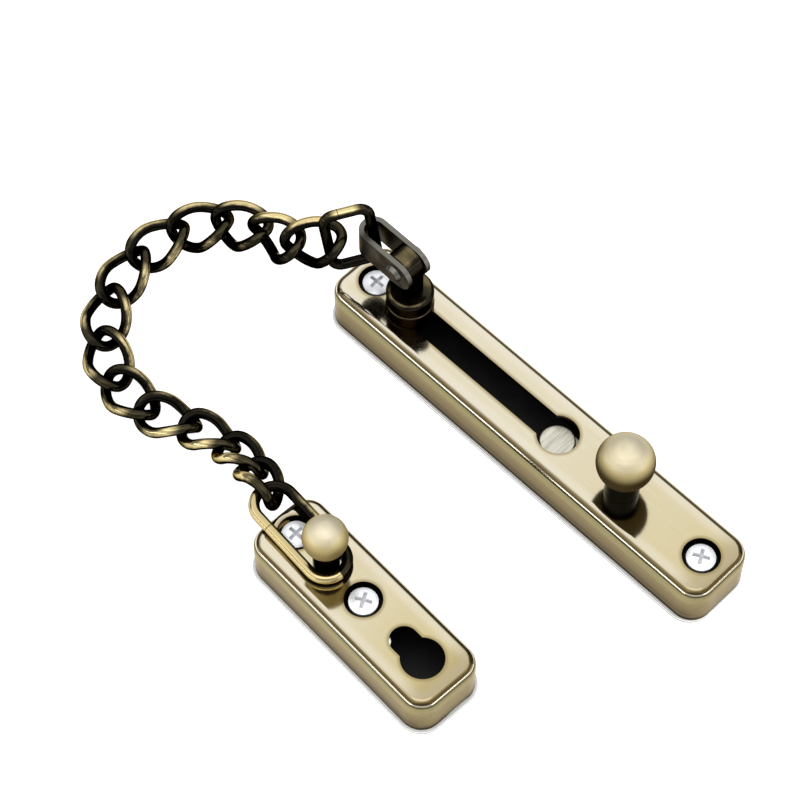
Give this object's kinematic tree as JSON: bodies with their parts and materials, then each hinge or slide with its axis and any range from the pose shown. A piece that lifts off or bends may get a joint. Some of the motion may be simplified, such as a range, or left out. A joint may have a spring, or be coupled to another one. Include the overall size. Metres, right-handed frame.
{
  "type": "door chain",
  "caption": "Door chain: slotted slide plate with a sprung catch knob, captive swivel slider, twisted link chain and an anchor plate with a keyhole to park the slider.",
  "frame": {"origin": "middle of the slide plate's back face", "axes": "+X along the slide plate from the slider's far end to the knob, +Z out of the door face"},
  "size_m": [0.1865, 0.0955, 0.0485],
  "materials": {
    "bronze_plate": "satin brushed antique bronze plating",
    "base_steel": "plain rolled steel",
    "screw_zinc": "bright zinc",
    "knob_bronze": "satin turned antique bronze",
    "chain_bronze": "blackened bronze, relieved on the high sides",
    "strap_grey": "matt gunmetal",
    "stud_black": "blackened bronze",
    "spring_steel": "spring steel"
  },
  "bodies": {
    "slide_plate": {"slide_cover": "bronze_plate", "slide_base_plate": "base_steel", "slide_pillars": "base_steel", "slide_cover_screws": "screw_zinc", "catch_spring": "spring_steel"},
    "catch": {"catch_knob": "knob_bronze", "catch_tongue": "base_steel"},
    "shoe": {"slider_shoe": "stud_black"},
    "swivel": {"swivel_head": "stud_black"},
    "strap": {"slider_strap": "strap_grey", "strap_rivet": "strap_grey"},
    "slider_wire": {"slider_ring": "chain_bronze"},
    "link_01": {"chain_link_01": "chain_bronze"},
    "link_02": {"chain_link_02": "chain_bronze"},
    "link_03": {"chain_link_03": "chain_bronze"},
    "link_04": {"chain_link_04": "chain_bronze"},
    "link_05": {"chain_link_05": "chain_bronze"},
    "link_06": {"chain_link_06": "chain_bronze"},
    "link_07": {"chain_link_07": "chain_bronze"},
    "link_08": {"chain_link_08": "chain_bronze"},
    "link_09": {"chain_link_09": "chain_bronze"},
    "link_10": {"chain_link_10": "chain_bronze"},
    "link_11": {"chain_link_11": "chain_bronze"},
    "link_12": {"chain_link_12": "chain_bronze"},
    "link_13": {"chain_link_13": "chain_bronze"},
    "anchor_wire": {"anchor_ring": "chain_bronze"},
    "anchor_plate": {"anchor_cover": "bronze_plate", "anchor_base_plate": "base_steel", "anchor_pillars": "base_steel", "anchor_cover_screws": "screw_zinc", "anchor_knob": "knob_bronze"}
  },
  "joints": [
    {"name": "catch_press", "type": "slide", "parent": "slide_plate", "child": "catch", "axis": [0, 0, -1], "range_m": [0, 0.0034], "stiffness_N_per_m": 700, "springref_m": -0.002, "deforming": ["catch_spring"]},
    {"name": "slider_travel", "type": "slide", "parent": "slide_plate", "child": "shoe", "axis": [1, 0, 0], "range_m": [0, 0.0447]},
    {"name": "head_swivel", "type": "hinge", "parent": "shoe", "child": "swivel", "pos_m": [-0.0466, 0, 0.0202], "axis": [0, 0, 1], "range_deg": [-18, 24]},
    {"name": "strap_lift", "type": "hinge", "parent": "swivel", "child": "strap", "pos_m": [-0.0487, 0, 0.035], "axis": [0, 1, 0], "range_deg": [-6, 70]},
    {"name": "ring_swing", "type": "hinge", "parent": "strap", "child": "slider_wire", "pos_m": [-0.0605, 0, 0.038], "axis": [0.2144, -0.017, -0.9766], "range_deg": [-10, 10]},
    {"name": "link_01_turn", "type": "hinge", "parent": "slider_wire", "child": "link_01", "pos_m": [-0.06601, -0.00882, 0.03694], "axis": [0, 0, 1], "range_deg": [-10, 16]},
    {"name": "link_02_turn", "type": "hinge", "parent": "link_01", "child": "link_02", "pos_m": [-0.07592, -0.01501, 0.03125], "axis": [0, 0, -1], "range_deg": [-16, 12]},
    {"name": "link_03_turn", "type": "hinge", "parent": "link_02", "child": "link_03", "pos_m": [-0.08792, -0.01606, 0.02637], "axis": [0, 0, 1], "range_deg": [-16, 16]},
    {"name": "link_04_turn", "type": "hinge", "parent": "link_03", "child": "link_04", "pos_m": [-0.09948, -0.01959, 0.02158], "axis": [0, 0, -1], "range_deg": [-11, 16]},
    {"name": "link_05_turn", "type": "hinge", "parent": "link_04", "child": "link_05", "pos_m": [-0.10823, -0.02804, 0.01699], "axis": [0, 0, 1], "range_deg": [-16, 13]},
    {"name": "link_06_turn", "type": "hinge", "parent": "link_05", "child": "link_06", "pos_m": [-0.11221, -0.03961, 0.0126], "axis": [0, 0, -1], "range_deg": [-15, 16]},
    {"name": "link_07_turn", "type": "hinge", "parent": "link_06", "child": "link_07", "pos_m": [-0.11049, -0.05186, 0.0086], "axis": [0, 0, 1], "range_deg": [-16, 13]},
    {"name": "link_08_turn", "type": "hinge", "parent": "link_07", "child": "link_08", "pos_m": [-0.10321, -0.06226, 0.0058], "axis": [0, 0, -1], "range_deg": [-14, 16]},
    {"name": "link_09_turn", "type": "hinge", "parent": "link_08", "child": "link_09", "pos_m": [-0.09179, -0.06833, 0.0045], "axis": [0, 0, 1], "range_deg": [-16, 13]},
    {"name": "link_10_turn", "type": "hinge", "parent": "link_09", "child": "link_10", "pos_m": [-0.07879, -0.06856, 0.0044], "axis": [0, 0, -1], "range_deg": [-9, 16]},
    {"name": "link_11_turn", "type": "hinge", "parent": "link_10", "child": "link_11", "pos_m": [-0.06692, -0.06327, 0.00455], "axis": [0, 0, 1], "range_deg": [-16, 16]},
    {"name": "link_12_turn", "type": "hinge", "parent": "link_11", "child": "link_12", "pos_m": [-0.05431, -0.06082, 0.00658], "axis": [0, 0, -1], "range_deg": [-16, 9]},
    {"name": "link_13_turn", "type": "hinge", "parent": "link_12", "child": "link_13", "pos_m": [-0.04235, -0.06229, 0.01145], "axis": [0, 0, 1], "range_deg": [-6, 16]},
    {"name": "anchor_ring_turn", "type": "hinge", "parent": "link_13", "child": "anchor_wire", "pos_m": [-0.03181, -0.06766, 0.01685], "axis": [0, 0, -1], "range_deg": [-16, 16]},
    {"name": "anchor_swing", "type": "hinge", "parent": "anchor_wire", "child": "anchor_plate", "pos_m": [-0.00755, -0.06965, 0.015], "axis": [0, 0, 1], "range_deg": [-40, 40]}
  ]
}
